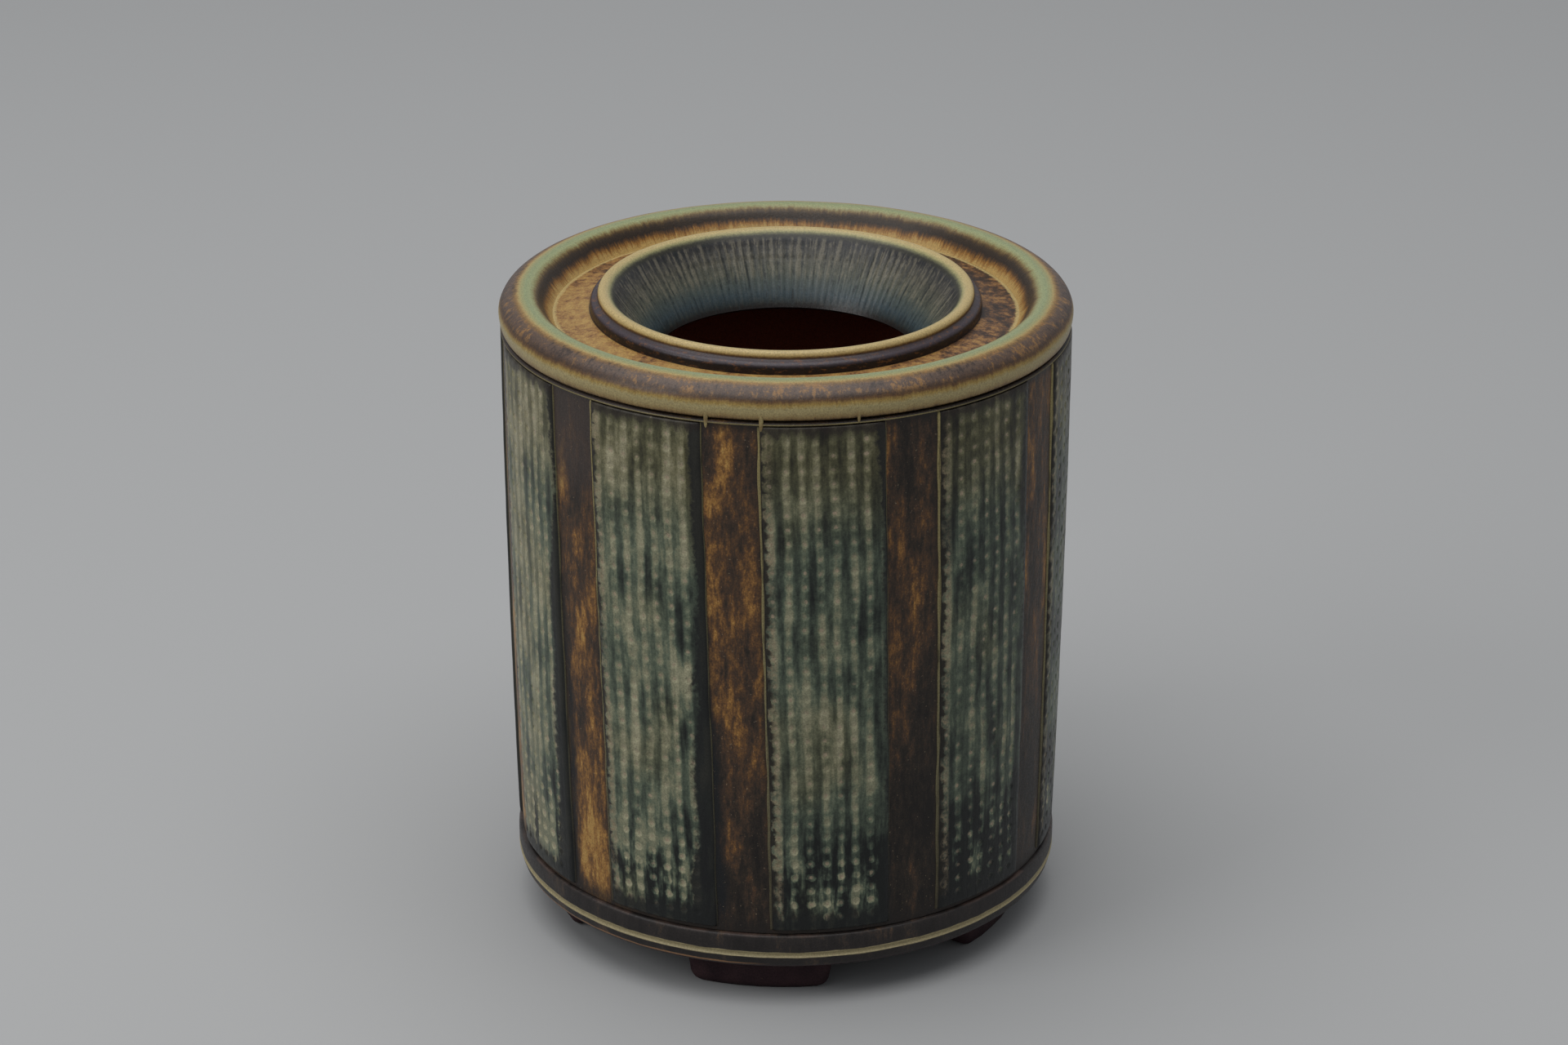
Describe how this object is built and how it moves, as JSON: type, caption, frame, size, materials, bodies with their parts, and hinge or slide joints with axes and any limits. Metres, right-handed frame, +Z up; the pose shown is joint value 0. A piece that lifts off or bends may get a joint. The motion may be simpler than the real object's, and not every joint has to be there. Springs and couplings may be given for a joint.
{
  "type": "footed vase",
  "caption": "Cylindrical glazed stoneware vase on slab feet, with textured clay panels round the wall, a recessed shoulder inside a rolled rim and a funnel neck.",
  "frame": {"origin": "middle of the circle that the feet stand on, on the table's plane", "axes": "+Z up along the vase's axis, -Y towards the viewer of the picture, +X to the viewer's right"},
  "size_m": [0.17, 0.17, 0.1964],
  "materials": {
    "base_glaze": "satin black-brown glaze",
    "wall_glaze": "satin mottled brown glaze",
    "shoulder_glaze": "satin tan and plum glaze",
    "rim_glaze": "satin celadon green over brown glaze",
    "collar_glaze": "satin cream lip over slate blue glaze",
    "panel_glaze": "satin sage green glaze over impressed dots",
    "bare_clay": "bare fired clay, matt"
  },
  "bodies": {
    "root": {"base_slab": "base_glaze", "wall_cylinder": "wall_glaze", "shoulder_plate": "shoulder_glaze", "rim_ring": "rim_glaze", "neck_collar": "collar_glaze", "panel_01": "panel_glaze", "panel_02": "panel_glaze", "panel_03": "panel_glaze", "panel_04": "panel_glaze", "panel_05": "panel_glaze", "panel_06": "panel_glaze", "panel_07": "panel_glaze", "panel_08": "panel_glaze", "panel_09": "panel_glaze", "panel_10": "panel_glaze", "foot_1": "bare_clay", "foot_2": "bare_clay", "foot_3": "bare_clay", "foot_4": "bare_clay", "foot_5": "bare_clay"}
  },
  "joints": []
}
